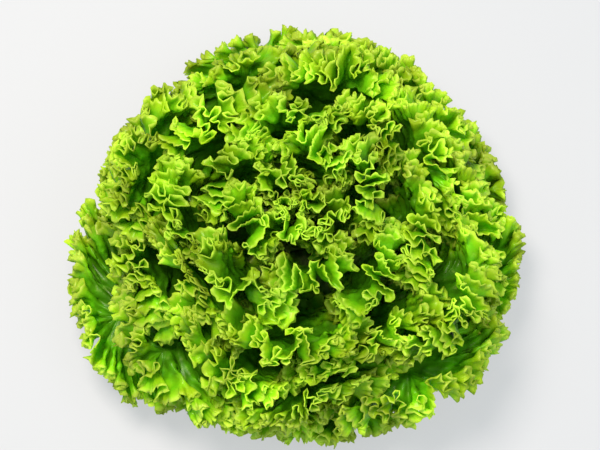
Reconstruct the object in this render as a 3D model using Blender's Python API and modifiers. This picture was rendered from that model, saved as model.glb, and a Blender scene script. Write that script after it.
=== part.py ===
"""Lollo lettuce: a loose head of frilled leaves on a short cut stem.

Metres, +Z up. The stem's cut end is the only flat face and lies on z = 0 at the origin.
The leaves stand on the stem in a golden-angle spiral, the oldest lowest and outermost.
Each leaf lies on its own shell of revolution, and the shells nest without touching.
"""

import math

import bmesh
import bpy
import numpy as np
from mathutils.bvhtree import BVHTree

# Lengths are in millimetres down to the last step, which makes them metres
MM = 0.001

# The stem: radius and height, from the growing tip down to the cut end
STEM_PROFILE = (
    (0.0, 50.0),
    (4.0, 48.5),
    (9.5, 42.0),
    (14.5, 30.0),
    (18.0, 14.0),
    (18.0, 6.0),
    (16.0, 1.0),
    (15.0, 0.0),
    (0.0, 0.0),
)
STEM_SIDES = 20
STEM_GAP = 0.5

# The spiral of leaves
OUTER_LEAVES = 16
MIDDLE_LEAVES = 16
HEART_LEAVES = 14
LEAVES = OUTER_LEAVES + MIDDLE_LEAVES + HEART_LEAVES
GOLDEN_ANGLE = math.radians(137.508)
FIRST_AZIMUTH = math.radians(100)
LOWEST_LEAF = 9.0
LEAF_RISE = 36.0

# The dome that the leaf tips reach
DOME_RADIUS = 126.0
DOME_FOOT = 32.0
DOME_HEIGHT = 104.0
FIRST_RISE = -8.0
LAST_RISE = 88.0
HEART_CLOSING = 5.0
HEART_DIP = 12.0

# How far from the axis the tips of the lowest leaves reach, oldest first
LOW_REACH = (
    130, 122, 129, 121, 127, 125, 141, 130, 106, 122, 121, 109,
    131, 112, 120, 117, 103, 113, 104, 107, 112, 101, 100, 98,
)
LONGEST = 1.14
INNER_LENGTHS = (0.93, 1.04)

# A leaf: half width in degrees and share of length along its edge, and where its folds leave the rib
HALF_WIDTHS = (22, 17, 18, 24, 30, 32, 28, 17, 0)
EDGE_SHARES = (0, 0.14, 0.34, 0.55, 0.72, 0.84, 0.95, 1.0, 1.01)
RIB_SHARES = (0, 0.16, 0.38, 0.53, 0.64, 0.74, 0.84)
WIDEST = 6
HEART_WRAP = 0.8
ROWS = (0.0, 0.42, 0.74, 1.0)
BLADE = 1.0
OUTER_RIB = 3.2
HEART_RIB = 1.5

# The frill: folds across the leaf that grow towards its edge, and slower swells under them
FOLD = 9.6
STALK_FOLD = 24.0
STALK_SHARE = 0.38
FRILL_DEPTH = 34.0
MOST_FRILL = 10.0
FOLD_STEEPNESS = 1.0
LEAF_CLEARANCE = 1.4
CLEAR_ANGLE = 9.0
NEIGHBOURS = (1, 2, 3, 5, 8)
SWELLS = 5
SWELL_SHARE = 0.3
TOOTH = 0.018
GENTLER = 0.8
TRIES = 8
SEED = 7


def smooth(x, low, high):
    x = np.clip((x - low) / (high - low), 0, 1)
    return x * x * (3 - 2 * x)


def through(values, x):
    """The smooth curve through evenly spaced values, at x from 0 to 1."""
    values = np.array(values, float)
    last = len(values) - 1
    i = np.clip(np.floor(x * last).astype(int), 0, last - 1)
    f = x * last - i
    a, b, c, d = (values[np.clip(i + k, 0, last)] for k in (-1, 0, 1, 2))
    bend = 2 * a - 5 * b + 4 * c - d
    return 0.5 * (2 * b + (c - a) * f + bend * f**2 + (3 * b - a - 3 * c + d) * f**3)


def stem_radius(z):
    radii, heights = zip(*STEM_PROFILE[-2::-1])
    return np.interp(z, heights, radii)


def rib_thickness(age):
    return OUTER_RIB + (HEART_RIB - OUTER_RIB) * age


def shell(age, share):
    """Radius and height on a leaf's shell: age 0 outermost to 1, share of the shell's length."""
    base_z = LOWEST_LEAF + LEAF_RISE * age
    base_r = stem_radius(base_z) + STEM_GAP + rib_thickness(age) / 2
    rise = np.radians(FIRST_RISE + (LAST_RISE - FIRST_RISE) * age)
    tip_r = DOME_RADIUS * np.cos(rise) + 5 - HEART_CLOSING * smooth(age, 0.75, 1)
    tip_z = DOME_FOOT + DOME_HEIGHT * np.sin(rise) - HEART_DIP * smooth(age, 0.8, 1)
    slope = np.radians(90 - 98 * (1 - age) ** 1.9)
    reach = 60 - 10 * age
    bend_r = tip_r - reach * np.cos(slope)
    bend_z = tip_z - reach * np.sin(slope)
    rest = 1 - share
    r = base_r * rest**2 + 2 * bend_r * share * rest + tip_r * share**2
    z = base_z * rest**2 + 2 * bend_z * share * rest + tip_z * share**2
    return r, z


def shell_normal(age, share):
    """Radial and upward parts of the shell's normal, which points at the younger leaves."""
    r, z = shell(age, share)
    r_next, z_next = shell(age, share + 0.001)
    run = np.hypot(r_next - r, z_next - z)
    return -(z_next - z) / run, (r_next - r) / run


def shell_spacing(age, share):
    """Distance from one leaf's shell to the next younger one's."""
    n_r, n_z = shell_normal(age, share)
    step = 1 / (LEAVES - 1)
    older, younger = max(age - step, 0), min(age + step, 1)
    r_old, z_old = shell(older, share)
    r_young, z_young = shell(younger, share)
    gap = (r_young - r_old) * n_r + (z_young - z_old) * n_z
    return np.abs(gap) * step / (younger - older)


def warp(points):
    """Moves all leaves together, so that the head is uneven and no two leaves meet."""
    x, y, z = points[..., 0], points[..., 1], points[..., 2]
    shift = np.stack([
        6 * np.sin(y / 25 + z / 33 + 1.0) + 3.5 * np.sin(z / 15 + x / 21 + y / 60),
        6 * np.sin(x / 26 - z / 37 + 2.0) + 3.5 * np.sin(z / 16 - y / 20 + x / 55 + 1.0),
        6 * np.sin(x / 21 + y / 27 + 0.5) + 5 * np.sin(y / 18 - x / 31 + 2.0),
    ], -1)
    share = smooth(z, 12, 65) * np.clip(np.hypot(x, y) / 60 - 0.2, 0, 1)
    return points + shift * share[..., None]


def leaf_length(number, age, draw):
    """Share of its shell's length that a leaf has: set by its reach, or drawn for an inner leaf."""
    if number >= len(LOW_REACH):
        return draw.uniform(*INNER_LENGTHS)
    share = np.linspace(0.7, LONGEST, 200)
    return np.interp(LOW_REACH[number], shell(age, share)[0], share)


def half_width(age, degrees):
    """A half width in degrees for a leaf of this age: the heart leaves wrap further round."""
    return np.maximum(degrees, 0) * (1 + HEART_WRAP * smooth(age, 0.72, 1))


def edge_columns(age, length):
    """Places along the leaf's edge, base to tip as 0 to 1: a fold apart, and wider at the stalk."""
    fine = np.linspace(0, 1, 400)
    angle = np.radians(half_width(age, through(HALF_WIDTHS, fine)))
    r, z = shell(age, through(EDGE_SHARES, fine) * length)
    line = np.stack([r * np.cos(angle), r * np.sin(angle), z], -1)
    pitch = np.where(fine < STALK_SHARE, STALK_FOLD, FOLD)
    steps = np.linalg.norm(np.diff(line, axis=0), axis=1) / pitch[1:]
    run = np.append(0, np.cumsum(steps))
    return np.interp(np.linspace(0, run[-1], round(run[-1]) + 1), run, fine)


def room_beside(age, share, offset, side):
    """How far the leaf may fold at each point towards the younger (1) or the older (-1) leaves."""
    wide = np.interp(share, EDGE_SHARES[:WIDEST], HALF_WIDTHS[:WIDEST])
    wide = half_width(age, wide) + CLEAR_ANGLE
    free = np.full(share.shape, float(NEIGHBOURS[-1]))
    for steps in reversed(NEIGHBOURS):
        turn = math.degrees(GOLDEN_ANGLE) * steps * side
        apart = np.abs((np.degrees(offset) - turn + 180) % 360 - 180)
        free = np.where(apart < wide, steps, free)
    return 0.5 * free * shell_spacing(age, share) - LEAF_CLEARANCE


def frill(age, share, offset, flat, along, draw):
    """How far each point leaves the smooth shell: sharp folds on slow swells, most at the edge."""
    count = len(along)
    column = np.linalg.norm(flat[-1] - flat[0], axis=-1)
    ray = (flat[-1] - flat[0]) / column[:, None]
    v = np.array(ROWS)[:, None]
    grow = np.clip(1 - (1 - v) * column / FRILL_DEPTH, 0, 1) ** 1.2
    grow = grow * smooth(column, 5, 22) * smooth(v, 0, 0.7)
    fold = np.where(np.arange(count) % 2, 1, -1) * draw.uniform(0.75, 1, count)
    place = np.abs(np.linspace(-1, 1, count))
    phase = draw.uniform(0, math.tau, 2)[(np.arange(count) > count / 2) * 1]
    swell = np.sin((1 - place) * SWELLS * math.pi + phase)
    rises = (1 - SWELL_SHARE) * fold + SWELL_SHARE * swell > 0
    inward = room_beside(age, share, offset, 1)
    outward = room_beside(age, share, offset, -1)
    most = np.clip(0.3 * np.hypot(flat[..., 0], flat[..., 1]) - 0.8, 0.2, MOST_FRILL)
    room = np.clip(np.where(rises, inward, outward), 0, most)
    stride = np.linalg.norm(np.cross(np.gradient(flat, axis=1), ray), axis=-1)
    steepest = np.maximum(FOLD_STEEPNESS * stride - 1.5 * BLADE, 0)
    sharp = np.minimum((1 - SWELL_SHARE) * room, steepest) * fold
    return grow * (sharp + SWELL_SHARE * room * swell)


def leaf_sheet(number, strength):
    """Points of the leaf's middle surface: rows from midrib to edge, columns from side to side."""
    draw = np.random.default_rng(SEED + number)
    age = number / (LEAVES - 1)
    length = leaf_length(number, age, draw)
    half = edge_columns(age, length)
    along = np.concatenate([half, half[-2::-1]])
    side = np.sign(np.linspace(-1, 1, len(along)).round(6))
    tooth = np.where(np.arange(len(along)) % 2, 1, -1) * smooth(along, 0.3, 0.6)
    edge = through(EDGE_SHARES, along) * length + TOOTH * tooth * strength
    root = through(RIB_SHARES, along) * length
    v = np.array(ROWS)[:, None]
    share = root + (edge - root) * v
    offset = side * np.radians(half_width(age, through(HALF_WIDTHS, along))) * v
    theta = FIRST_AZIMUTH + number * GOLDEN_ANGLE + offset
    r, z = shell(age, share)
    n_r, n_z = shell_normal(age, share)
    flat = np.stack([r * np.cos(theta), r * np.sin(theta), z], -1)
    normal = np.stack([n_r * np.cos(theta), n_r * np.sin(theta), n_z], -1)
    lift = frill(age, share, offset, flat, along, draw) * strength
    return warp(flat + lift[..., None] * normal) * MM


def rib_weight(row, column, columns, rib):
    """Share of the rib's full thickness at a point of the grid: most at the base of the midrib."""
    thin = BLADE / rib
    to_base = abs(2 * column / (columns - 1) - 1)
    return thin + (1 - thin) * to_base * (1 - ROWS[row]) ** 2


def leaf_mesh(name, points, rib):
    """A grid laid on the leaf's middle surface, joined along the midrib and cut into triangles."""
    rows, columns = points.shape[:2]
    bm = bmesh.new()
    bmesh.ops.create_grid(bm, x_segments=columns - 1, y_segments=rows - 1, size=1)
    layer = bm.verts.layers.deform.new()
    midrib = []
    for vert in bm.verts:
        column = round((vert.co.x + 1) / 2 * (columns - 1))
        row = round((vert.co.y + 1) / 2 * (rows - 1))
        if row == 0:
            midrib.append(vert)
        vert[layer][0] = rib_weight(row, column, columns, rib)
        vert.co = points[row, column]
    bmesh.ops.remove_doubles(bm, verts=midrib, dist=0.001 * MM)
    bmesh.ops.triangulate(bm, faces=bm.faces, quad_method="SHORT_EDGE")
    mesh = bpy.data.meshes.new(name)
    bm.to_mesh(mesh)
    bm.free()
    mesh.shade_smooth()
    return mesh


def touches_itself(leaf):
    """Whether two faces of the finished leaf that share no corner cross."""
    graph = bpy.context.evaluated_depsgraph_get()
    mesh = leaf.evaluated_get(graph).to_mesh()
    mesh.calc_loop_triangles()
    faces = [tuple(triangle.vertices) for triangle in mesh.loop_triangles]
    tree = BVHTree.FromPolygons([v.co for v in mesh.vertices], faces)
    return any(not set(faces[a]) & set(faces[b]) for a, b in tree.overlap(tree))


def material(name, colour, roughness):
    made = bpy.data.materials.new(name)
    made.use_nodes = True
    shader = made.node_tree.nodes["Principled BSDF"]
    shader.inputs["Base Color"].default_value = (*colour, 1)
    shader.inputs["Roughness"].default_value = roughness
    shader.inputs["Metallic"].default_value = 0
    made.diffuse_color = (*colour, 1)
    return made


def add_object(name, mesh, surface, collection):
    made = bpy.data.objects.new(name, mesh)
    mesh.materials.append(surface)
    collection.objects.link(made)
    return made


def add_leaf(name, number, surface, collection):
    """A thin leaf with a thicker rib, its folds made gentler until no fold touches the next."""
    rib = rib_thickness(number / (LEAVES - 1))
    mesh = leaf_mesh(name, leaf_sheet(number, 1.0), rib)
    leaf = add_object(name, mesh, surface, collection)
    leaf.vertex_groups.new(name="rib")
    wall = leaf.modifiers.new("Thickness", "SOLIDIFY")
    wall.thickness = rib * MM
    wall.offset = 0
    wall.vertex_group = "rib"
    for attempt in range(1, TRIES):
        if not touches_itself(leaf):
            break
        leaf.data = leaf_mesh(name, leaf_sheet(number, GENTLER**attempt), rib)
        bpy.data.meshes.remove(mesh)
        mesh = leaf.data
        mesh.name = name
        mesh.materials.append(surface)
    return leaf


def add_stem(name, surface, collection):
    """Half a section turned round the upright axis."""
    mesh = bpy.data.meshes.new(name)
    profile = [(r * MM, 0, z * MM) for r, z in STEM_PROFILE]
    mesh.from_pydata(profile, [(i, i + 1) for i in range(len(profile) - 1)], [])
    stem = add_object(name, mesh, surface, collection)
    turn = stem.modifiers.new("Turn", "SCREW")
    turn.axis = "Z"
    turn.steps = STEM_SIDES
    turn.render_steps = STEM_SIDES
    turn.use_merge_vertices = True
    turn.merge_threshold = 0.00001
    turn.use_smooth_shade = True
    return stem


def build():
    for old in list(bpy.data.objects):
        bpy.data.objects.remove(old)
    head = bpy.data.collections.new("lollo_lettuce")
    bpy.context.scene.collection.children.link(head)
    add_stem("stem", material("pale_stem", (0.70, 0.74, 0.42), 0.5), head)
    groups = (
        ("outer_leaf", OUTER_LEAVES, material("outer_leaf_green", (0.17, 0.36, 0.02), 0.45)),
        ("middle_leaf", MIDDLE_LEAVES, material("middle_leaf_green", (0.15, 0.34, 0.02), 0.45)),
        ("heart_leaf", HEART_LEAVES, material("heart_leaf_green", (0.20, 0.39, 0.03), 0.45)),
    )
    number = 0
    for kind, count, surface in groups:
        for place in range(1, count + 1):
            add_leaf(f"{kind}_{place:02d}", number, surface, head)
            number += 1


build()
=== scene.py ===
import math

import bpy
import numpy as np
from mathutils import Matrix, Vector


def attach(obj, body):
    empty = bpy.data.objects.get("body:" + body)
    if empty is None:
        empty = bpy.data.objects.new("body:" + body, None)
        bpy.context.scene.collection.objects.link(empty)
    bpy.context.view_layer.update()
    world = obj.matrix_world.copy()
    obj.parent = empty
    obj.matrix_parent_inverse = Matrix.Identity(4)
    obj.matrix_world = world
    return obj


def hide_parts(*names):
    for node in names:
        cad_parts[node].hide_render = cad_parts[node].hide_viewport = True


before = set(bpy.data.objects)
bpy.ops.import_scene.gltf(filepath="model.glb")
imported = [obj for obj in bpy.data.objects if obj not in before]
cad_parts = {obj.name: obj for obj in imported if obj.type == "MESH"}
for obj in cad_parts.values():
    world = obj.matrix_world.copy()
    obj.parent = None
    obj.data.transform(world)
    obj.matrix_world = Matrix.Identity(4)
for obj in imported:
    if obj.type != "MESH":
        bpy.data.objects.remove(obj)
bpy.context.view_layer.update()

# The stem: the short stump that carries every leaf. Crisp white-green flesh, cut straight across
# the bottom with a knife, where the air browns it a little; the leaves grow round it in a spiral.
MM = 0.001
STEM_TOP, LAST_RING = 50, 1
STEM_PROFILE = (
    (50, 0), (49.6, 1.6), (48.4, 4), (42, 9.5), (30, 14.5), (14, 17.9), (6, 17.9), (1, 16),
)
STEM_CUT_RADIUS = 15.0
STEM_SIDES, STEM_RINGS = 72, 26
RING_CROWDING = 1.3
STEM_RIDGES, STEM_RIDGE, RIDGE_TWIST = 8, 0.25, 4
RIDGE_HEIGHTS, RIDGE_RADII = (2, 8), (2, 9)
# Its surface: the grain is drawn coarser than real cells, so that it shows. Sizes in millimetres
FLESH_GRAIN, STREAK = 2.38, 0.15
GREENING = (0.6, 30)
FLESH_SHADES = ((0, "#c9b184"), (0.05, "#e3e0b4"), (0.5, "#dbe3a6"), (1, "#b9d173"))
GRAIN_SHADE, GRAIN_DEPTH = (0.82, 1.05), 0.2
FLESH_FINISH = {"Roughness": 0.38, "IOR": 1.4, "Subsurface Weight": 0.1, "Subsurface Scale": 0.003}


def smooth(x, low, high):
    x = np.clip((x - low) / (high - low), 0, 1)
    return x * x * (3 - 2 * x)


def linear(shade):
    """An sRGB hex colour as the linear colour that a shader takes."""
    parts = [int(shade[i : i + 2], 16) / 255 for i in (1, 3, 5)]
    return [p / 12.92 if p <= 0.04045 else ((p + 0.055) / 1.055) ** 2.4 for p in parts] + [1]


def pattern_scale(size):
    """The scale of a texture whose pattern is about size millimetres wide."""
    return 1 / (size * MM)


def add_node(tree, kind, feeds=None, **settings):
    """Adds a node. feeds gives each input a value, a node's output, or a node for its first one."""
    made = tree.nodes.new(kind)
    for name, value in settings.items():
        setattr(made, name, value)
    for socket, value in (feeds or {}).items():
        if isinstance(value, bpy.types.Node):
            value = value.outputs[0]
        if isinstance(value, bpy.types.NodeSocket):
            tree.links.new(value, made.inputs[socket])
        else:
            made.inputs[socket].default_value = value
    return made


def set_ramp(ramp, stops):
    """Gives a colour ramp its (place, hex colour) stops."""
    points = ramp.color_ramp.elements
    while len(points) > 1:
        points.remove(points[-1])
    points[0].position, points[0].color = stops[0][0], linear(stops[0][1])
    for place, shade in stops[1:]:
        points.new(place).color = linear(shade)


def mesh_object(name, points, faces):
    mesh = bpy.data.meshes.new(name)
    mesh.from_pydata(points, [], faces)
    mesh.shade_smooth()
    made = bpy.data.objects.new(name, mesh)
    bpy.context.scene.collection.objects.link(made)
    return made


def stem_flesh():
    """Raw stalk, trimmed by hand: pale, damp and softly shining, faintly streaked lengthways."""
    made = bpy.data.materials.new("stem_flesh")
    made.use_nodes = True
    tree = made.node_tree
    shader = tree.nodes["Principled BSDF"]
    place = add_node(tree, "ShaderNodeTexCoord").outputs["Object"]
    streaks = add_node(tree, "ShaderNodeMapping", {"Vector": place, "Scale": (1, 1, STREAK)})
    feeds = {"Vector": streaks, "Scale": pattern_scale(FLESH_GRAIN)}
    grain = add_node(tree, "ShaderNodeTexNoise", feeds)
    # In every Map Range, 1 and 2 are the range that it reads, 3 and 4 the range that it gives
    height = add_node(tree, "ShaderNodeSeparateXYZ", {0: place}).outputs["Z"]
    lowest, highest = GREENING
    green = add_node(tree, "ShaderNodeMapRange", {0: height, 1: lowest * MM, 2: highest * MM})
    body = add_node(tree, "ShaderNodeValToRGB", {"Fac": green})
    set_ramp(body, FLESH_SHADES)
    dim = add_node(tree, "ShaderNodeMapRange", {0: grain, 3: GRAIN_SHADE[0], 4: GRAIN_SHADE[1]})
    shade = add_node(
        tree,
        "ShaderNodeMix",
        {"Factor": 1.0, 6: body, 7: dim},
        data_type="RGBA",
        blend_type="MULTIPLY",
    )
    bump = add_node(tree, "ShaderNodeBump", {"Height": grain, "Distance": GRAIN_DEPTH * MM})
    tree.links.new(shade.outputs[2], shader.inputs["Base Color"])
    tree.links.new(bump.outputs[0], shader.inputs["Normal"])
    for socket, value in FLESH_FINISH.items():
        shader.inputs[socket].default_value = value
    return made


def stem_mesh():
    """The turned stump, with faint ridges that run down from the leaf bases."""
    heights, radii = np.array(STEM_PROFILE, float).T
    ring_z = STEM_TOP - (STEM_TOP - LAST_RING) * np.linspace(0, 1, STEM_RINGS) ** RING_CROWDING
    ring_r = np.interp(ring_z, heights[::-1], radii[::-1])
    ring_z, ring_r = np.append(ring_z[1:], 0), np.append(ring_r[1:], STEM_CUT_RADIUS)
    turn = np.arange(STEM_SIDES) / STEM_SIDES * math.tau
    ridge = STEM_RIDGE * np.sin(STEM_RIDGES * turn[None] + ring_z[:, None] / RIDGE_TWIST)
    ridge = ridge * smooth(ring_z, *RIDGE_HEIGHTS)[:, None] * smooth(ring_r, *RIDGE_RADII)[:, None]
    r = ring_r[:, None] + ridge
    rings = np.stack([r * np.cos(turn), r * np.sin(turn), ring_z[:, None] + 0 * r], -1)
    points = np.vstack([[[0, 0, STEM_TOP]], rings.reshape(-1, 3), [[0, 0, 0]]]) * MM
    at = 1 + np.arange(len(ring_z) * STEM_SIDES).reshape(-1, STEM_SIDES)
    after = np.roll(at, -1, 1)
    faces = [(0, a, b) for a, b in zip(at[0], after[0])]
    for upper, upper_next, lower, lower_next in zip(at[:-1], after[:-1], at[1:], after[1:]):
        faces += list(zip(upper, lower, lower_next, upper_next))
    faces += [(len(points) - 1, b, a) for a, b in zip(at[-1], after[-1])]
    return mesh_object("stem_stump", points.tolist(), np.array(faces, dtype=object).tolist())


stem = stem_mesh()
stem.data.materials.append(stem_flesh())
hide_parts("stem")
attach(stem, "root")

# The outer leaves: sixteen broad fans, the oldest on the head, low and leaning out. A thin tender
# blade on a thick pale rib, grown in one piece. Its edge has grown over four times as long as the
# blade behind it, so it buckles into folds on folds and stands up as a lobed and toothed frill.
OUTER_LEAVES, MIDDLE_LEAVES, HEART_LEAVES = 16, 16, 14
LEAVES = OUTER_LEAVES + MIDDLE_LEAVES + HEART_LEAVES
GOLDEN_ANGLE = math.radians(137.508)
FIRST_AZIMUTH = math.radians(100)
SEED = 7

# The nested shells that the leaves lie on, as in the solids. Lengths are in millimetres
LEAF_SEATS = ((0, 15), (1, 16), (6, 18), (14, 18), (30, 14.5), (42, 9.5), (48.5, 4), (50, 0))
STEM_GAP = 0.5
LOWEST_LEAF, LEAF_RISE = 9.0, 36.0
DOME_RADIUS, DOME_FOOT, DOME_HEIGHT = 126.0, 32.0, 104.0
FIRST_RISE, LAST_RISE = -8.0, 88.0
TIP_OUT, HEART_CLOSING, HEART_DIP = 5, 5.0, 12.0
CLOSING_AGES, DIP_AGES = (0.75, 1), (0.8, 1)
UPRIGHT, FIRST_LEAN, LEAN_FALL = 90, 98, 1.9
BEND_REACH, BEND_LOSS = 60, 10
NEAR = 0.001

# How the whole head is uneven: axis moved, how far, wave lengths along x, y and z, and start
SWAYS = (
    (0, 6.0, (math.inf, 25, 33), 1.0),
    (0, 3.5, (21, 60, 15), 0.0),
    (1, 6.0, (26, math.inf, -37), 2.0),
    (1, 3.5, (55, -20, 16), 1.0),
    (2, 6.0, (21, 27, math.inf), 0.5),
    (2, 5.0, (-31, 18, math.inf), 2.0),
)
SWAY_HEIGHTS, SWAY_RADIUS, STILL_SHARE = (12, 65), 60, 0.2

# A leaf's outline: how far out the low leaves reach, and the half width in degrees and the share
# of length at nine places along its edge, with the places where the folds leave the rib
LOW_REACH = (
    130, 122, 129, 121, 127, 125, 141, 130, 106, 122, 121, 109,
    131, 112, 120, 117, 103, 113, 104, 107, 112, 101, 100, 98,
)
SHORTEST, LONGEST, LENGTH_STEPS = 0.7, 1.14, 200
INNER_LENGTHS = (0.93, 1.04)
HALF_WIDTHS = (22, 17, 18, 24, 30, 32, 28, 17, 0)
EDGE_SHARES = (0, 0.14, 0.34, 0.55, 0.72, 0.84, 0.95, 1.0, 1.01)
RIB_SHARES = (0, 0.16, 0.38, 0.53, 0.64, 0.74, 0.84)
WIDEST = 6
HEART_WRAP, WRAP_AGES = 0.8, (0.72, 1)

# The cuts between the lobes: places along the edge, width, random shift and depth, tip shallower
NOTCHES = (0.42, 0.58, 0.74, 0.9)
NOTCH_WIDTH, NOTCH_SHIFT = 0.036, 0.04
NOTCH_SHARES = (0.14, 0.34)
NOTCH_DEPTHS = (1, 1, 1, 0.5)

# The blade's own grid: rows from edge to rib, coarser and coarser, and columns along the edge
ROWS = 14
EDGE_ROW, ROW_CROWDING = 1.4, 2.6
ROW_STEPS = (1, 1, 2, 2, 2, 4, 4, 8)
COLUMN_PITCH, STALK_PITCH = 1.23, 2.6
OUTLINE_STEPS = 1500

# How much the edge grows, how far in that reaches, and how steeply it falls off
MAIN_STRETCH, MAIN_DEPTH, MAIN_FALL = 1.4, 28.0, 1.4
EDGE_STRETCH, EDGE_DEPTH, EDGE_FALL = 2.0, 13.0, 1.2
GROWING, FRILLED = (0.18, 0.42), (0.15, 0.4)
HEART_CALM, CALM_AGES = 0.3, (0.6, 1)
FIRST_DEEPER, DEEPER_LOSS, DEEPER_AGES = 1.3, 0.4, (0, 0.6)

# The folds that are seeded: their lengths along the edge, and how far they rise, reach and fall off
SLOW_FOLD, SLOW_RISE, SLOW_DEPTH, SLOW_FALL = 38.0, 0.25, 70, 1.2
MAIN_FOLD, MAIN_RISE = 14.0, 0.5
SMALL_FOLD, SMALL_RISE, SMALL_START = 16.0, 1.6, 80
DRIVE, DRIVE_DEPTH, DRIVE_FALL = 0.1, 18, 1.2
LEAN_DEPTH, LEAN_DROP = 14, 1.3
TIGHT_ROOM, TIGHT_FOLD = (3, 9), (0.6, 1)

# What varies at random along the edge: by how much, and over how many millimetres it turns
STRETCH_VARIES, FOLD_VARIES, REACH_VARIES = (0.35, 22), (0.45, 13), (0.25, 25)
SLOW_VARIES, SMALL_VARIES, DRIVE_VARIES = (0.3, 50), (0.4, 9), (0.6, 9)
ROOM_VARIES, LEAN = (0.35, 9), (0.06, 12)
SPARE_KNOTS = 4

# The room that the neighbouring leaves leave: which neighbours count, and how near they come
NEIGHBOURS = (1, 2, 3, 5, 8)
CLEAR_ANGLE = 9.0
ROOM_SHARE, LEAST_ROOM, MOST_ROOM = 0.55, 0.5, 12.0
ROOM_PUSH = 0.4

# The buckling: steps, when each part of it happens, and how stiffly each kind of thread pulls
RELAX_STEPS = 200
MAIN_STAGE, EDGE_STAGE, DRIVE_ENDS = (-0.1, 0.4), (0.35, 0.8), (0.25, 0.5)
THREAD, SLANT, ACROSS = 0.8, 0.2, 0.3
ROUNDNESS, ACROSS_ROUNDNESS = 0.94, 0.95
EASE, EASE_DEPTHS, EASE_STEPS = 0.8, (8, 22), 30
ROUNDING = 0.35
CURL, CURL_DEPTH, CURL_FALL, CURL_REACH, CURL_SOFTNESS = 2.4, 8.0, 1.5, 3.0, 1.5

# Thickness of the blade, and of the rib at its middle, across it and towards its tip
BLADE = 0.5
OUTER_RIB, HEART_RIB = 3.2, 1.5
RIB_HALF, RIB_TAPER = 4.5, 1.2


def through(values, x):
    """The smooth curve through evenly spaced values, at x from 0 to 1."""
    values = np.array(values, float)
    last = len(values) - 1
    i = np.clip(np.floor(x * last).astype(int), 0, last - 1)
    f = x * last - i
    a, b, c, d = (values[np.clip(i + k, 0, last)] for k in (-1, 0, 1, 2))
    bend = 2 * a - 5 * b + 4 * c - d
    return 0.5 * (2 * b + (c - a) * f + bend * f**2 + (3 * b - a - 3 * c + d) * f**3)


def stem_radius(z):
    heights, radii = zip(*LEAF_SEATS)
    return np.interp(z, heights, radii)


def rib_thickness(age):
    return OUTER_RIB + (HEART_RIB - OUTER_RIB) * age


def shell(age, share):
    """Radius and height on a leaf's shell: age 0 outermost to 1, share of the shell's length."""
    base_z = LOWEST_LEAF + LEAF_RISE * age
    base_r = stem_radius(base_z) + STEM_GAP + rib_thickness(age) / 2
    rise = np.radians(FIRST_RISE + (LAST_RISE - FIRST_RISE) * age)
    tip_r = DOME_RADIUS * np.cos(rise) + TIP_OUT - HEART_CLOSING * smooth(age, *CLOSING_AGES)
    tip_z = DOME_FOOT + DOME_HEIGHT * np.sin(rise) - HEART_DIP * smooth(age, *DIP_AGES)
    slope = np.radians(UPRIGHT - FIRST_LEAN * (1 - age) ** LEAN_FALL)
    reach = BEND_REACH - BEND_LOSS * age
    bend_r = tip_r - reach * np.cos(slope)
    bend_z = tip_z - reach * np.sin(slope)
    rest = 1 - share
    r = base_r * rest**2 + 2 * bend_r * share * rest + tip_r * share**2
    z = base_z * rest**2 + 2 * bend_z * share * rest + tip_z * share**2
    return r, z


def shell_normal(age, share):
    """Radial and upward parts of the shell's normal, which points at the younger leaves."""
    r, z = shell(age, share)
    r_next, z_next = shell(age, share + NEAR)
    run = np.hypot(r_next - r, z_next - z)
    return -(z_next - z) / run, (r_next - r) / run


def shell_spacing(age, share):
    """Distance from one leaf's shell to the next younger one's."""
    n_r, n_z = shell_normal(age, share)
    step = 1 / (LEAVES - 1)
    older, younger = max(age - step, 0), min(age + step, 1)
    r_old, z_old = shell(older, share)
    r_young, z_young = shell(younger, share)
    gap = (r_young - r_old) * n_r + (z_young - z_old) * n_z
    return np.abs(gap) * step / (younger - older)


def warp(points):
    """Moves all leaves together, so that the head is uneven."""
    shift = np.zeros_like(points)
    for axis, sway, lengths, start in SWAYS:
        shift[..., axis] += sway * np.sin((points / lengths).sum(-1) + start)
    from_axis = np.hypot(points[..., 0], points[..., 1])
    outer = np.clip(from_axis / SWAY_RADIUS - STILL_SHARE, 0, 1)
    share = smooth(points[..., 2], *SWAY_HEIGHTS) * outer
    return points + shift * share[..., None]


def leaf_length(number, age, draw):
    """Share of its shell's length that a leaf has: set by its reach, or drawn for an inner leaf."""
    if number >= len(LOW_REACH):
        return draw.uniform(*INNER_LENGTHS)
    share = np.linspace(SHORTEST, LONGEST, LENGTH_STEPS)
    return np.interp(LOW_REACH[number], shell(age, share)[0], share)


def half_width(age, degrees):
    """A half width in degrees for a leaf of this age: the heart leaves wrap further round."""
    return np.maximum(degrees, 0) * (1 + HEART_WRAP * smooth(age, *WRAP_AGES))


def room_beside(age, share, offset, side):
    """How far the leaf may fold at each point towards the younger (1) or the older (-1) leaves."""
    wide = np.interp(share, EDGE_SHARES[:WIDEST], HALF_WIDTHS[:WIDEST])
    wide = half_width(age, wide) + CLEAR_ANGLE
    free = np.full(share.shape, float(NEIGHBOURS[-1]))
    for steps in reversed(NEIGHBOURS):
        turn = math.degrees(GOLDEN_ANGLE) * steps * side
        apart = np.abs((np.degrees(offset) - turn + 180) % 360 - 180)
        free = np.where(apart < wide, steps, free)
    return np.clip(ROOM_SHARE * free * shell_spacing(age, share), LEAST_ROOM, MOST_ROOM)


def wander(draw, run, most, period):
    """A smooth random line along run, from -most to most, that turns about every period."""
    knots = draw.uniform(-1, 1, int(run[-1] / period) + SPARE_KNOTS)
    place = run / period
    i = np.floor(place).astype(int)
    f = smooth(place - i, 0, 1)
    return most * (knots[i] * (1 - f) + knots[i + 1] * f)


def growth(depth, reach, fall):
    """1 at the leaf's edge, falling to 0 at a depth of reach millimetres."""
    return np.clip(1 - depth / reach, 0, 1) ** fall


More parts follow.
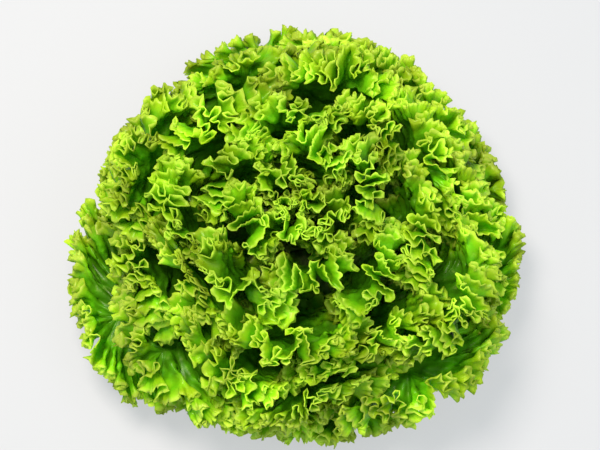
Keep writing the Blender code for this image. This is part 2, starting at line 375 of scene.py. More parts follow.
def edge_stretch(along, age):
    """How many times its first length the edge grows to: the frilled part most, the stalk least."""
    extra = (MAIN_STRETCH + EDGE_STRETCH) * (1 - HEART_CALM * smooth(age, *CALM_AGES))
    return 1 + extra * smooth(along, *GROWING)


def notches(along, places, shares):
    """How far the cuts between the leaf's lobes take its edge back towards the rib, as a share."""
    each = [s * np.exp(-(((along - p) / NOTCH_WIDTH) ** 2)) for p, s in zip(places, shares)]
    return np.max(each, axis=0)


def edge_columns(age, length, places):
    """Places along half the edge, base to tip as 0 to 1, evenly spaced once it has grown."""
    fine = np.linspace(0, 1, OUTLINE_STEPS)
    left = 1 - notches(fine, places, [sum(NOTCH_SHARES) / 2] * len(places))
    angle = np.radians(half_width(age, through(HALF_WIDTHS, fine))) * left
    root = through(RIB_SHARES, fine)
    r, z = shell(age, (root + (through(EDGE_SHARES, fine) - root) * left) * length)
    line = np.stack([r * np.cos(angle), r * np.sin(angle), z], -1)
    pitch = STALK_PITCH + (COLUMN_PITCH - STALK_PITCH) * smooth(fine, *FRILLED)
    steps = np.linalg.norm(np.diff(line, axis=0), axis=1)
    steps = steps * (edge_stretch(fine, age) / pitch)[1:]
    run = np.append(0, np.cumsum(steps))
    coarsest = ROW_STEPS[-1]
    count = coarsest * round(run[-1] / coarsest)
    return np.interp(np.linspace(0, run[-1], count + 1), run, fine)


def flat_leaf(number, age, draw):
    """The leaf before its edge grows, laid on its shell: points, normals, depth and room."""
    length = leaf_length(number, age, draw)
    places = np.array(NOTCHES) + draw.uniform(-NOTCH_SHIFT, NOTCH_SHIFT, len(NOTCHES))
    half = edge_columns(age, length, places)
    other = half[-2::-1]
    along = np.concatenate([half, other])
    side = np.sign(np.linspace(-1, 1, len(along)).round(6))
    shares = draw.uniform(*NOTCH_SHARES, (2, len(places))) * NOTCH_DEPTHS
    cut = np.concatenate([notches(half, places, shares[0]), notches(other, places, shares[1])])
    edge = through(EDGE_SHARES, along) * length
    root = through(RIB_SHARES, along) * length
    edge = root + (edge - root) * (1 - cut)
    width = side * np.radians(half_width(age, through(HALF_WIDTHS, along))) * (1 - cut)
    turn = FIRST_AZIMUTH + number * GOLDEN_ANGLE

    def lay(v):
        share = root + (edge - root) * v
        offset = width * v
        r, z = shell(age, share)
        n_r, n_z = shell_normal(age, share)
        cos, sin = np.cos(turn + offset), np.sin(turn + offset)
        points = np.stack([r * cos, r * sin, z + 0 * cos], -1)
        return points, np.stack([n_r * cos, n_r * sin, n_z + 0 * cos], -1), share, offset

    ends = lay(np.array([[0.0], [1.0]]))[0]
    column = np.linalg.norm(ends[1] - ends[0], axis=-1)
    i = np.arange(ROWS)[::-1, None]
    first = np.minimum(EDGE_ROW, column / (ROWS - 1))
    depth = first * i + (column - first * (ROWS - 1)) * (i / (ROWS - 1)) ** ROW_CROWDING
    points, normals, share, offset = lay(1 - depth / column)
    room = (room_beside(age, share, offset, -1), room_beside(age, share, offset, 1))
    return along, depth, points, normals, room


def pull(points, ahead, behind, rest, strength, push_only=False):
    """Moves each pair of points towards its resting distance."""
    a, b = points[behind], points[ahead]
    gap = b - a
    length = np.sqrt(np.einsum("ijk,ijk->ij", gap, gap)) + 1e-9
    share = (length - rest) / length * (0.5 * strength)
    if push_only:
        share = np.minimum(share, 0)
    move = gap * share[..., None]
    a += move
    b -= move


def sheet_normals(points):
    """The sheet's own normal at each point of the folded grid."""
    normal = np.cross(np.gradient(points, axis=1), np.gradient(points, axis=0))
    return normal / (np.linalg.norm(normal, axis=-1)[..., None] + 1e-9)


def curl(points, depth):
    """How far each fold's crest rolls over, away from the side that it bends round."""
    run = round(CURL_REACH / COLUMN_PITCH)
    bend = np.zeros_like(points)
    bend[:, run:-run] = points[:, 2 * run :] - 2 * points[:, run:-run] + points[:, : -2 * run]
    size = np.linalg.norm(bend, axis=-1)[..., None]
    bend *= CURL * growth(depth, CURL_DEPTH, CURL_FALL)[..., None] / (size + CURL_SOFTNESS)
    soft = bend.copy()
    soft[:, 1:-1] = (bend[:, 2:] + bend[:, 1:-1] + bend[:, :-2]) / 3
    return soft


ALL = slice(None)
NEXT, LAST = slice(1, None), slice(None, -1)
SECOND, FIRST = slice(2, None), slice(None, -2)


def frilled(age, along, depth, flat, normals, room, draw):
    """Lets the edge grow until it buckles: folds are seeded, then all lengths relax in turn."""
    run = np.append(0, np.cumsum(np.linalg.norm(np.diff(flat[-1], axis=0), axis=1)))
    stretch = 1 + (edge_stretch(along, age) - 1) * (1 + wander(draw, run, *STRETCH_VARIES))
    both = 0.5 * (room[0] + room[1])
    tight = np.interp(both[-1], TIGHT_ROOM, TIGHT_FOLD)
    fold = MAIN_FOLD * (1 + wander(draw, run, *FOLD_VARIES)) * tight
    turns = np.append(0, np.cumsum(np.diff(run) / fold[1:]))
    grown = np.append(0, np.cumsum(np.diff(run) * stretch[1:]))
    slow = np.cos(math.tau * (run / SLOW_FOLD + wander(draw, run, *SLOW_VARIES) + draw.uniform()))
    main = np.cos(math.tau * (turns + draw.uniform()))
    small = np.cos(math.tau * (grown / SMALL_FOLD + wander(draw, grown, *SMALL_VARIES)))
    rise = SLOW_RISE * both * slow * growth(depth, SLOW_DEPTH, SLOW_FALL)
    deepest = MAIN_DEPTH * (FIRST_DEEPER - DEEPER_LOSS * smooth(age, *DEEPER_AGES))
    rise += MAIN_RISE * both * main * growth(depth, deepest, MAIN_FALL)
    ripple = SMALL_RISE * small * growth(depth, EDGE_DEPTH, EDGE_FALL)
    drive = DRIVE * main * (1 + wander(draw, run, *DRIVE_VARIES))
    drive = drive * growth(depth, DRIVE_DEPTH, DRIVE_FALL)
    lean = wander(draw, run, *LEAN) * growth(depth, LEAN_DEPTH, LEAN_DROP)
    frill = smooth(along, *FRILLED)
    points = flat + (rise * frill)[..., None] * normals

    # How much longer each stretch of each row gets, in two stages
    row_rest = np.linalg.norm(np.diff(flat, axis=1), axis=-1)
    column_rest = np.linalg.norm(np.diff(flat, axis=0), axis=-1)
    reach = deepest * (1 + wander(draw, run, *REACH_VARIES))
    main_part = MAIN_STRETCH / (MAIN_STRETCH + EDGE_STRETCH)
    main_growth = main_part * growth(depth, reach, MAIN_FALL)
    edge_growth = (1 - main_part) * growth(depth, EDGE_DEPTH, EDGE_FALL)
    extra = np.stack([main_growth, edge_growth])
    extra *= stretch - 1
    extra = 0.5 * (extra[..., 1:] + extra[..., :-1])
    uneven = 1 + wander(draw, run, *ROOM_VARIES)
    low, high = -room[0] * uneven, room[1] * uneven

    tall = 0.5 * (column_rest[:, 1:] + column_rest[:, :-1])
    for step in range(RELAX_STEPS):
        share = step / RELAX_STEPS
        main_now, edge_now = smooth(share, *MAIN_STAGE), smooth(share, *EDGE_STAGE)
        rest = row_rest * (1 + main_now * extra[0] + edge_now * extra[1])
        slant = np.hypot(0.5 * (rest[1:] + rest[:-1]), tall)
        pull(points, (ALL, NEXT), (ALL, LAST), rest, THREAD)
        pull(points, (NEXT, ALL), (LAST, ALL), column_rest, THREAD)
        pull(points, (NEXT, NEXT), (LAST, LAST), slant, SLANT)
        pull(points, (NEXT, LAST), (LAST, NEXT), slant, SLANT)
        along_rest = ROUNDNESS * (rest[:, 1:] + rest[:, :-1])
        pull(points, (ALL, SECOND), (ALL, FIRST), along_rest, THREAD, True)
        across_rest = ACROSS_ROUNDNESS * (column_rest[1:] + column_rest[:-1])
        pull(points, (SECOND, ALL), (FIRST, ALL), across_rest, ACROSS, True)
        push = drive * (1 - smooth(share, *DRIVE_ENDS)) + lean
        points += (push * frill)[..., None] * normals
        if step == SMALL_START:
            points += (ripple * frill)[..., None] * sheet_normals(points)
        out = np.einsum("ijk,ijk->ij", points - flat, normals)
        over = out - np.clip(out, low, high)
        points -= (ROOM_PUSH * over)[..., None] * normals
        points[0] = flat[0]
        points[:, 0], points[:, -1] = flat[:, 0], flat[:, -1]

    # The inner blade eases flat between its folds, and the folds at the edge lose their kinks
    ease = EASE * smooth(depth, *EASE_DEPTHS)[..., None]
    for _ in range(EASE_STEPS):
        beside = 0.5 * (points[1:-1, 2:] + points[1:-1, :-2])
        points[1:-1, 1:-1] += ease[1:-1, 1:-1] * (beside - points[1:-1, 1:-1])
    beside = 0.5 * (points[1:, 2:] + points[1:, :-2])
    points[1:, 1:-1] += ROUNDING * (beside - points[1:, 1:-1])
    return points - curl(points, depth) * frill[:, None], grown


def leaf_faces(rows, columns):
    """Faces of the leaf's grid: every column near the edge, and fewer and fewer further in."""
    at = np.arange(rows * columns).reshape(rows, columns)
    at[0] = np.minimum(at[0], at[0, ::-1])
    faces = []
    for row in range(rows - 1):
        from_edge = rows - 2 - row
        step = ROW_STEPS[min(from_edge, len(ROW_STEPS) - 1)]
        above = ROW_STEPS[min(max(from_edge - 1, 0), len(ROW_STEPS) - 1)]
        low, high = at[row, ::step], at[row + 1, ::step]
        if above == step:
            faces += np.stack([low[:-1], low[1:], high[1:], high[:-1]], -1).tolist()
            continue
        middle = at[row + 1, step // 2 :: step]
        faces += np.stack([low[:-1], middle, high[:-1]], -1).tolist()
        faces += np.stack([low[:-1], low[1:], middle], -1).tolist()
        faces += np.stack([low[1:], high[1:], middle], -1).tolist()
    return faces


def set_attribute(mesh, name, kind, values):
    field = "vector" if kind == "FLOAT_VECTOR" else "value"
    made = mesh.attributes.new(name, kind, "POINT")
    made.data.foreach_set(field, np.ascontiguousarray(values, np.float32).ravel())


def leaf_blade(name, number):
    """One leaf's thin middle surface, with what its finish needs at each point."""
    age = number / (LEAVES - 1)
    draw = np.random.default_rng(SEED + number)
    along, depth, flat, normals, room = flat_leaf(number, age, draw)
    points, grown = frilled(age, along, depth, flat, normals, room, draw)
    outward = np.gradient(points, axis=0)
    outward /= np.linalg.norm(outward, axis=-1)[..., None] + 1e-9
    rib_depth = depth.max(0) - depth
    thick = rib_thickness(age) * (1 - along) ** RIB_TAPER * np.exp(-((rib_depth / RIB_HALF) ** 2))
    blade = mesh_object(name, (warp(points) * MM).reshape(-1, 3).tolist(), leaf_faces(*depth.shape))
    mesh = blade.data
    set_attribute(mesh, "from_edge", "FLOAT", depth)
    set_attribute(mesh, "from_rib", "FLOAT", rib_depth)
    set_attribute(mesh, "along_edge", "FLOAT", grown + 0 * depth)
    set_attribute(mesh, "up_leaf", "FLOAT", along + 0 * depth)
    set_attribute(mesh, "thickness", "FLOAT", (BLADE + thick) * MM)
    set_attribute(mesh, "outward", "FLOAT_VECTOR", outward)
    return blade


# The finish along the edge: lengths and depths in millimetres of leaf, heights and sizes in metres
LEAF_FINISH = {
    "Ripple length": 4.3,
    "Ripple depth": 7.0,
    "Ripple height": 0.8 * MM,
    "Tooth spacing": 4.8,
    "Tooth depth": 4.5,
    "Tooth height": 2.6 * MM,
    "Tooth roll": 1.3 * MM,
    "Pucker size": 10 * MM,
    "Pucker depth": 9.0,
    "Pucker height": 2.4 * MM,
}
SEED_STEP = 37.7
RIPPLE_NOISE, RIPPLE_SWING = 1.6, 2.0
TOOTH_NOISE, TOOTH_DRIFT, TOOTH_TAPER = 0.7, 1.2, 1.6
TOOTHED = (0.2, 0.4)
ROLL_NOISE, ROLL_START, ROLL_SWING = 0.9, 7.3, 2.5
PUCKER_SWING, PUCKER_START, PUCKER_FROM_RIB = 2.0, 1.0, (2.0, 12.0)
SAME_POINT = 0.002 * MM


def leaf_finish_tree():
    """Ripples and teeth along the edge, puckers between the veins, then the blade's thickness."""
    tree = bpy.data.node_groups.new("leaf_frill", "GeometryNodeTree")
    tree.interface.new_socket("Geometry", in_out="INPUT", socket_type="NodeSocketGeometry")
    for name, size in LEAF_FINISH.items():
        made = tree.interface.new_socket(name, in_out="INPUT", socket_type="NodeSocketFloat")
        made.default_value = size
    tree.interface.new_socket("Seed", in_out="INPUT", socket_type="NodeSocketInt")
    tree.interface.new_socket("Material", in_out="INPUT", socket_type="NodeSocketMaterial")
    tree.interface.new_socket("Geometry", in_out="OUTPUT", socket_type="NodeSocketGeometry")
    given = add_node(tree, "NodeGroupInput").outputs
    numbers = ("from_edge", "along_edge", "from_rib", "up_leaf", "thickness")
    kept = [(name, "FLOAT") for name in numbers]
    kept += [("outward", "FLOAT_VECTOR"), ("wall", "FLOAT_VECTOR")]
    reader = "GeometryNodeInputNamedAttribute"
    depth, run, from_rib, up_leaf, thickness, outward, wall = (
        add_node(tree, reader, {"Name": name}, data_type=kind).outputs["Attribute"]
        for name, kind in kept
    )
    facing = add_node(tree, "GeometryNodeInputNormal")
    start = add_node(tree, "ShaderNodeMath", {0: given["Seed"], 1: SEED_STEP}, operation="MULTIPLY")

    # Ripples: fine waves across the edge
    near = add_node(tree, "ShaderNodeMapRange", {0: depth, 1: given["Ripple depth"], 2: 0.0})
    feeds = {0: run, 1: given["Ripple length"]}
    ripple_at = add_node(tree, "ShaderNodeMath", feeds, operation="DIVIDE")
    ripple_at = add_node(tree, "ShaderNodeMath", {0: ripple_at, 1: start}, operation="ADD")
    feeds = {"W": ripple_at, "Scale": RIPPLE_NOISE, "Detail": 1.0}
    ripple = add_node(tree, "ShaderNodeTexNoise", feeds, noise_dimensions="1D")
    feeds = {0: ripple, 1: 2 * RIPPLE_SWING, 2: -RIPPLE_SWING}
    ripple = add_node(tree, "ShaderNodeMath", feeds, operation="MULTIPLY_ADD")
    for share in (near, given["Ripple height"]):
        ripple = add_node(tree, "ShaderNodeMath", {0: ripple, 1: share}, operation="MULTIPLY")
    move = add_node(tree, "ShaderNodeVectorMath", {0: facing, "Scale": ripple}, operation="SCALE")
    feeds = {"Geometry": given["Geometry"], "Offset": move}
    shape = add_node(tree, "GeometryNodeSetPosition", feeds)

    # Teeth: round lobes a few millimetres wide, unevenly spaced, each rolled to one side
    feeds = {0: run, 1: given["Tooth spacing"]}
    tooth_at = add_node(tree, "ShaderNodeMath", feeds, operation="DIVIDE")
    tooth_at = add_node(tree, "ShaderNodeMath", {0: tooth_at, 1: start}, operation="ADD")
    feeds = {"W": tooth_at, "Scale": TOOTH_NOISE}
    uneven = add_node(tree, "ShaderNodeTexNoise", feeds, noise_dimensions="1D")
    feeds = {0: uneven, 1: TOOTH_DRIFT, 2: tooth_at}
    tooth_at = add_node(tree, "ShaderNodeMath", feeds, operation="MULTIPLY_ADD")
    tooth = add_node(tree, "ShaderNodeMath", {0: tooth_at, 1: math.pi}, operation="MULTIPLY")
    for shaping in ("SINE", "ABSOLUTE"):
        tooth = add_node(tree, "ShaderNodeMath", {0: tooth}, operation=shaping)
    at_edge = add_node(tree, "ShaderNodeMapRange", {0: depth, 1: given["Tooth depth"], 2: 0.0})
    at_edge = add_node(tree, "ShaderNodeMath", {0: at_edge, 1: TOOTH_TAPER}, operation="POWER")
    above_stalk = add_node(tree, "ShaderNodeMapRange", {0: up_leaf, 1: TOOTHED[0], 2: TOOTHED[1]})
    for share in (at_edge, above_stalk):
        tooth = add_node(tree, "ShaderNodeMath", {0: tooth, 1: share}, operation="MULTIPLY")
    feeds = {0: tooth_at, 1: ROLL_NOISE, 2: ROLL_START}
    roll_at = add_node(tree, "ShaderNodeMath", feeds, operation="MULTIPLY_ADD")
    roll = add_node(tree, "ShaderNodeTexNoise", {"W": roll_at, "Scale": 1.0}, noise_dimensions="1D")
    feeds = {0: roll, 1: 2 * ROLL_SWING, 2: -ROLL_SWING}
    roll = add_node(tree, "ShaderNodeMath", feeds, operation="MULTIPLY_ADD")
    for share in (tooth, given["Tooth roll"]):
        roll = add_node(tree, "ShaderNodeMath", {0: roll, 1: share}, operation="MULTIPLY")
    move = add_node(tree, "ShaderNodeVectorMath", {0: facing, "Scale": roll}, operation="SCALE")
    shape = add_node(tree, "GeometryNodeSetPosition", {"Geometry": shape, "Offset": move})
    feeds = {0: tooth, 1: given["Tooth height"]}
    longer = add_node(tree, "ShaderNodeMath", feeds, operation="MULTIPLY")
    move = add_node(tree, "ShaderNodeVectorMath", {0: outward, "Scale": longer}, operation="SCALE")
    shape = add_node(tree, "GeometryNodeSetPosition", {"Geometry": shape, "Offset": move})

    # Puckers: the blade swells between its veins, away from its edge and its rib
    place = add_node(tree, "GeometryNodeInputPosition")
    scale = add_node(tree, "ShaderNodeMath", {0: 1.0, 1: given["Pucker size"]}, operation="DIVIDE")
    pucker = add_node(tree, "ShaderNodeTexNoise", {"Vector": place, "Scale": scale, "Detail": 1.0})
    feeds = {0: pucker, 1: 2 * PUCKER_SWING, 2: -PUCKER_SWING}
    swell = add_node(tree, "ShaderNodeMath", feeds, operation="MULTIPLY_ADD")
    feeds = {0: depth, 1: PUCKER_START, 2: given["Pucker depth"]}
    inner = add_node(tree, "ShaderNodeMapRange", feeds)
    from_low, from_high = PUCKER_FROM_RIB
    away = add_node(tree, "ShaderNodeMapRange", {0: from_rib, 1: from_low, 2: from_high})
    feeds = {0: away, 1: given["Pucker height"]}
    tall = add_node(tree, "ShaderNodeMath", feeds, operation="MULTIPLY")
    for share in (inner, tall):
        swell = add_node(tree, "ShaderNodeMath", {0: swell, 1: share}, operation="MULTIPLY")
    move = add_node(tree, "ShaderNodeVectorMath", {0: facing, "Scale": swell}, operation="SCALE")
    shape = add_node(tree, "GeometryNodeSetPosition", {"Geometry": shape, "Offset": move})

    # Thickness: the sheet is lowered by half of it, closed below, and extruded up by all of it
    feeds = {0: facing, "Scale": thickness}
    across = add_node(tree, "ShaderNodeVectorMath", feeds, operation="SCALE")
    feeds = {0: shape, "Name": "wall", "Value": across}
    shape = add_node(tree, "GeometryNodeStoreNamedAttribute", feeds, data_type="FLOAT_VECTOR")
    down = add_node(tree, "ShaderNodeVectorMath", {0: wall, "Scale": -0.5}, operation="SCALE")
    low = add_node(tree, "GeometryNodeSetPosition", {"Geometry": shape, "Offset": down})
    feeds = {0: low, "Offset Scale": 0.0, "Individual": False}
    raised = add_node(tree, "GeometryNodeExtrudeMesh", feeds)
    feeds = {"Geometry": raised, "Selection": raised.outputs["Top"], "Offset": wall}
    upper = add_node(tree, "GeometryNodeSetPosition", feeds)
    under = add_node(tree, "GeometryNodeFlipFaces", {0: low})
    both = add_node(tree, "GeometryNodeJoinGeometry", {0: upper})
    tree.links.new(under.outputs[0], both.inputs[0])
    closed = add_node(tree, "GeometryNodeMergeByDistance", {0: both, "Distance": SAME_POINT})
    real = add_node(tree, "GeometryNodeRealizeInstances", {0: closed})
    dressed = add_node(tree, "GeometryNodeSetMaterial", {0: real, "Material": given["Material"]})
    add_node(tree, "NodeGroupOutput", {0: dressed})
    return tree


leaf_frill = leaf_finish_tree()

# The leaf's surface: where each green lies, in millimetres from the edge inwards. The pale rim
# strip is partly painted highlight, and the darker body and deep greens are partly painted shade
SHADES = (
    (0, "rim"), (0.56, "rim"), (1.8, "edge"), (4.8, "tip"),
    (12, "body"), (24, "deep"), (40, "deep"),
)
RIB_PALE, RIB_PALE_UP = (7.0, 0.5), (0.5, 0.08)
# Patches of older and younger tissue, riper spots near the edge, blisters between the veins with
# painted shade in the valleys between them and their middles painted lighter, and a grain that is
# drawn coarser than real cells so that it shows. Sizes in millimetres
PATCH_SIZE, PATCH_NOISE, PATCH_SHADE = 26.32, (0.3, 0.7), (0.68, 1.3)
RIPE_SIZE, RIPE_NOISE, RIPE_MOST, RIPE_DEPTH = 11.765, (0.45, 0.65), 0.7, (14.0, 1.0)
BLISTER_SIZE, BLISTER_REACH, BLISTER_SHADE = 5.263, (0.15, 0.75), (1.2, 0.62)
SHADE_DEPTH, SWELL_DEPTH, SWELL_STRENGTH, SWELL_HEIGHT = (3.0, 12.0), (2.0, 12.0), (0.1, 0.9), 2.5
CELL_GRAIN, CELL_STRENGTH, CELL_HEIGHT = 2.381, 0.5, 0.4
LEAF_WAX = {
    "Roughness": 0.38,
    "IOR": 1.4,
    "Coat Weight": 0.35,
    "Coat Roughness": 0.2,
    "Coat IOR": 1.4,
    "Specular Tint": linear("#eaff8c"),
}
LET_THROUGH = 0.54


def leaf_tissue(name, greens):
    """Fresh leaf tissue under its own thin wax: satin with small glints, thin enough to glow."""
    made = bpy.data.materials.new(name)
    made.use_nodes = True
    tree = made.node_tree
    shader = tree.nodes["Principled BSDF"]
    place = add_node(tree, "ShaderNodeTexCoord").outputs["Object"]
    from_edge, from_rib, up_leaf = (
        add_node(tree, "ShaderNodeAttribute", attribute_name=kept).outputs["Fac"]
        for kept in ("from_edge", "from_rib", "up_leaf")
    )

    # The greens from the edge inwards, with painted highlight at the rim and painted shade further
    # in, and the pale lower rib
    whole = SHADES[-1][0]
    reach = add_node(tree, "ShaderNodeMapRange", {0: from_edge, 1: 0.0, 2: whole})
    blade = add_node(tree, "ShaderNodeValToRGB", {"Fac": reach})
    set_ramp(blade, [(depth / whole, greens[part]) for depth, part in SHADES])
    near_rib = add_node(tree, "ShaderNodeMapRange", {0: from_rib, 1: RIB_PALE[0], 2: RIB_PALE[1]})
    low = add_node(tree, "ShaderNodeMapRange", {0: up_leaf, 1: RIB_PALE_UP[0], 2: RIB_PALE_UP[1]})
    pale = add_node(tree, "ShaderNodeMath", {0: near_rib, 1: low}, operation="MULTIPLY")
    feeds = {"Factor": pale, 6: blade, 7: linear(greens["rib"])}
    shade = add_node(tree, "ShaderNodeMix", feeds, data_type="RGBA")

    # Riper, yellower spots near the edge
    ripe = {"Vector": place, "Scale": pattern_scale(RIPE_SIZE), "Detail": 1.0}
    ripe = add_node(tree, "ShaderNodeTexNoise", ripe)
    feeds = {0: ripe, 1: RIPE_NOISE[0], 2: RIPE_NOISE[1], 4: RIPE_MOST}
    ripe = add_node(tree, "ShaderNodeMapRange", feeds)
    feeds = {0: from_edge, 1: RIPE_DEPTH[0], 2: RIPE_DEPTH[1]}
    near_edge = add_node(tree, "ShaderNodeMapRange", feeds)
    ripe = add_node(tree, "ShaderNodeMath", {0: ripe, 1: near_edge}, operation="MULTIPLY")
    feeds = {"Factor": ripe, 6: shade.outputs[2], 7: linear(greens["ripe"])}
    shade = add_node(tree, "ShaderNodeMix", feeds, data_type="RGBA")

    # Lighter and darker patches all over, and painted shade in the valleys between the blisters
    # further in, with the blisters' middles painted lighter
    patch = {"Vector": place, "Scale": pattern_scale(PATCH_SIZE), "Detail": 2.0}
    patch = add_node(tree, "ShaderNodeTexNoise", patch)
    feeds = {0: patch, 1: PATCH_NOISE[0], 2: PATCH_NOISE[1], 3: PATCH_SHADE[0], 4: PATCH_SHADE[1]}
    mottle = add_node(tree, "ShaderNodeMapRange", feeds)
    blister = {"Vector": place, "Scale": pattern_scale(BLISTER_SIZE)}
    blister = add_node(tree, "ShaderNodeTexVoronoi", blister, feature="SMOOTH_F1")
    blister = blister.outputs["Distance"]
    near, far = BLISTER_REACH
    painted_valley_shade = {0: blister, 1: near, 2: far, 3: BLISTER_SHADE[0], 4: BLISTER_SHADE[1]}
    painted_valley_shade = add_node(tree, "ShaderNodeMapRange", painted_valley_shade)
    feeds = {0: from_edge, 1: SHADE_DEPTH[0], 2: SHADE_DEPTH[1]}
    inner = add_node(tree, "ShaderNodeMapRange", feeds)
    for share, dimmer in ((1.0, mottle), (inner, painted_valley_shade)):
        feeds = {"Factor": share, 6: shade.outputs[2], 7: dimmer}
        shade = add_node(tree, "ShaderNodeMix", feeds, data_type="RGBA", blend_type="MULTIPLY")

    # The blisters swell, least near the edge, and the cells under the wax catch the light
    near, far = SWELL_DEPTH
    feeds = {0: from_edge, 1: near, 2: far, 3: SWELL_STRENGTH[0], 4: SWELL_STRENGTH[1]}
    raised = add_node(tree, "ShaderNodeMapRange", feeds)
    feeds = {"Height": blister, "Strength": raised, "Distance": SWELL_HEIGHT * MM}
    swell = add_node(tree, "ShaderNodeBump", feeds, invert=True)
    cells = {"Vector": place, "Scale": pattern_scale(CELL_GRAIN)}
    cells = add_node(tree, "ShaderNodeTexVoronoi", cells, feature="DISTANCE_TO_EDGE")
    cells = cells.outputs["Distance"]
    feeds = {"Height": cells, "Strength": CELL_STRENGTH, "Distance": CELL_HEIGHT * MM}
    bump = add_node(tree, "ShaderNodeBump", {**feeds, "Normal": swell})

    for socket, value in LEAF_WAX.items():
        shader.inputs[socket].default_value = value
    tree.links.new(shade.outputs[2], shader.inputs["Base Color"])
    tree.links.new(bump.outputs[0], shader.inputs["Normal"])
    glow = add_node(tree, "ShaderNodeBsdfTranslucent", {"Color": shade.outputs[2], "Normal": bump})
    mixed = add_node(tree, "ShaderNodeMixShader", {0: LET_THROUGH, 1: shader, 2: glow})
    tree.links.new(mixed.outputs[0], tree.nodes["Material Output"].inputs["Surface"])
    return made


def finish_leaf(blade, node, number, tissue):
    """Runs the frill tree on a blade, makes the result plain, and puts it in its node's place."""
    frill = blade.modifiers.new("Frill", "NODES")
    frill.node_group = leaf_frill
    sockets = leaf_frill.interface.items_tree
    inputs = {item.name: item.identifier for item in sockets if item.in_out == "INPUT"}
    frill[inputs["Seed"]] = number
    frill[inputs["Material"]] = tissue
    graph = bpy.context.evaluated_depsgraph_get()
    mesh = bpy.data.meshes.new_from_object(blade.evaluated_get(graph), depsgraph=graph)
    blade.modifiers.clear()
    blade.data = mesh
    mesh.name = blade.name
    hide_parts(node)
    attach(blade, "root")


# The rim green is partly painted highlight; body and deep are darker inwards, partly painted shade
OUTER_GREENS = {
    "rim": "#d6ea58",
    "edge": "#aedf26",
    "tip": "#84d216",
    "body": "#6cbe12",
    "deep": "#549f12",
    "rib": "#dfe8b4",
    "ripe": "#bcd91c",
}
outer_tissue = leaf_tissue("outer_leaf_blade", OUTER_GREENS)
for place in range(OUTER_LEAVES):
    blade = leaf_blade(f"outer_blade_{place + 1:02d}", place)
    finish_leaf(blade, f"outer_leaf_{place + 1:02d}", place, outer_tissue)

# The middle leaves: sixteen leaves that stand half upright and make most of what shows from above.
# The same tender blade on a slimmer rib, a little greener; their frills crowd each other on edge.
# The rim green is partly painted highlight; body and deep are darker inwards, partly painted shade
MIDDLE_GREENS = {
    "rim": "#d0e850",
    "edge": "#a8db22",
    "tip": "#7ecc14",
    "body": "#64b612",
    "deep": "#4e9910",
    "rib": "#dbe6a8",
    "ripe": "#b6d71a",
}
middle_tissue = leaf_tissue("middle_leaf_blade", MIDDLE_GREENS)
for place in range(MIDDLE_LEAVES):
    number = OUTER_LEAVES + place
    blade = leaf_blade(f"middle_blade_{place + 1:02d}", number)
    finish_leaf(blade, f"middle_leaf_{place + 1:02d}", number, middle_tissue)

# The heart leaves: fourteen young upright leaves that wrap round each other over the growing tip.
# Small, soft and tightly frilled; little light gets in between them, so the heart looks dark.
# The rim green is partly painted highlight; body and deep are darker inwards, partly painted shade
HEART_GREENS = {
    "rim": "#c6e44a",
    "edge": "#9ed720",
    "tip": "#76c612",
    "body": "#5cae10",
    "deep": "#468f0e",
    "rib": "#dbe6a8",
    "ripe": "#aed118",
}
heart_tissue = leaf_tissue("heart_leaf_blade", HEART_GREENS)
for place in range(HEART_LEAVES):
    number = OUTER_LEAVES + MIDDLE_LEAVES + place
    blade = leaf_blade(f"heart_blade_{place + 1:02d}", number)
    finish_leaf(blade, f"heart_leaf_{place + 1:02d}", number, heart_tissue)

# The table under the head and the light: a pale matt slab that glows a little, so that the shadow
# on it stays faint, an even cool sky, a warm soft lamp almost overhead and a weak one at the right.
SLAB_SIZE = 6
SLAB_SHADE, SLAB_ROUGHNESS, SLAB_GLOW = "#6a6a72", 0.6, 0.5
SKY_SHADE, SKY_STRENGTH = (0.76, 1, 0.96, 1), 0.74
WINDOW_PLACE, WINDOW_SIZE, WINDOW_POWER, WINDOW_SHADE = (-0.28, 0.3, 1.3), 0.5, 26, (1, 0.9, 0.76)
FILL_PLACE, FILL_SIZE, FILL_POWER = (0.7, -0.2, 0.9), 0.9, 4
LIT_POINT = (0, 0, 0.06)

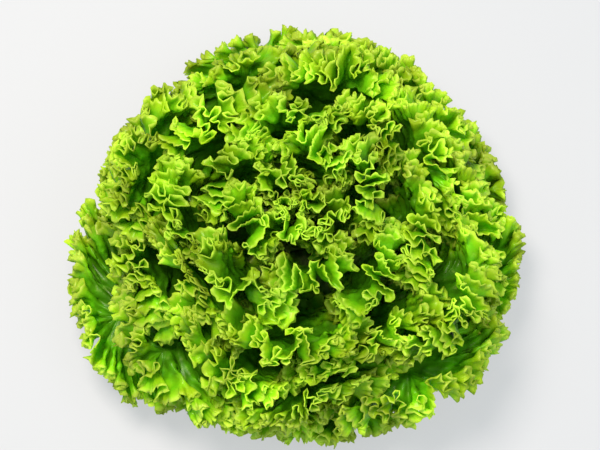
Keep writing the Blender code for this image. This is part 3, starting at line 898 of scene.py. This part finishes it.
bpy.ops.mesh.primitive_plane_add(size=SLAB_SIZE, location=(0, 0, 0))
table = bpy.context.object
table.name = "table_top"
slab = bpy.data.materials.new("matt_slab")
slab.use_nodes = True
face = slab.node_tree.nodes["Principled BSDF"]
face.inputs["Base Color"].default_value = linear(SLAB_SHADE)
face.inputs["Roughness"].default_value = SLAB_ROUGHNESS
face.inputs["Emission Color"].default_value = (1, 1, 1, 1)
face.inputs["Emission Strength"].default_value = SLAB_GLOW
table.data.materials.append(slab)

sky = bpy.data.worlds.new("overcast_sky")
bpy.context.scene.world = sky
sky.use_nodes = True
sky.node_tree.nodes["Background"].inputs["Color"].default_value = SKY_SHADE
sky.node_tree.nodes["Background"].inputs["Strength"].default_value = SKY_STRENGTH


def soft_lamp(name, place, size, power, shade=(1, 1, 1)):
    lamp = bpy.data.lights.new(name, "AREA")
    lamp.color = shade
    lamp.size = size
    lamp.energy = power
    made = bpy.data.objects.new(name, lamp)
    made.location = place
    made.rotation_euler = (Vector(LIT_POINT) - Vector(place)).to_track_quat("-Z", "Y").to_euler()
    bpy.context.scene.collection.objects.link(made)


soft_lamp("window", WINDOW_PLACE, WINDOW_SIZE, WINDOW_POWER, WINDOW_SHADE)
soft_lamp("fill", FILL_PLACE, FILL_SIZE, FILL_POWER)

# The camera: it looks down on the head from a little in front, as the photo does, and its frame is
# FRAME_WIDTH wide at FRAME_ABOVE over its target, where the widest leaves are.
CAMERA_ELEVATION = math.radians(78)
CAMERA_DISTANCE = 1.25
CAMERA_TARGET = Vector((0.003, -0.002, 0.07))
FRAME_WIDTH, FRAME_ABOVE = 0.34, 0.05
SENSOR = 36
lens = bpy.data.cameras.new("camera")
camera = bpy.data.objects.new("camera", lens)
bpy.context.scene.collection.objects.link(camera)
back = Vector((0, -math.cos(CAMERA_ELEVATION), math.sin(CAMERA_ELEVATION)))
camera.location = CAMERA_TARGET + back * CAMERA_DISTANCE
camera.rotation_mode = "QUATERNION"
camera.rotation_quaternion = (-back).to_track_quat("-Z", "Y")
lens.sensor_width = SENSOR
lens.lens = SENSOR * (CAMERA_DISTANCE - FRAME_ABOVE) / FRAME_WIDTH
bpy.context.scene.camera = camera
bpy.context.scene.view_settings.view_transform = "Standard"
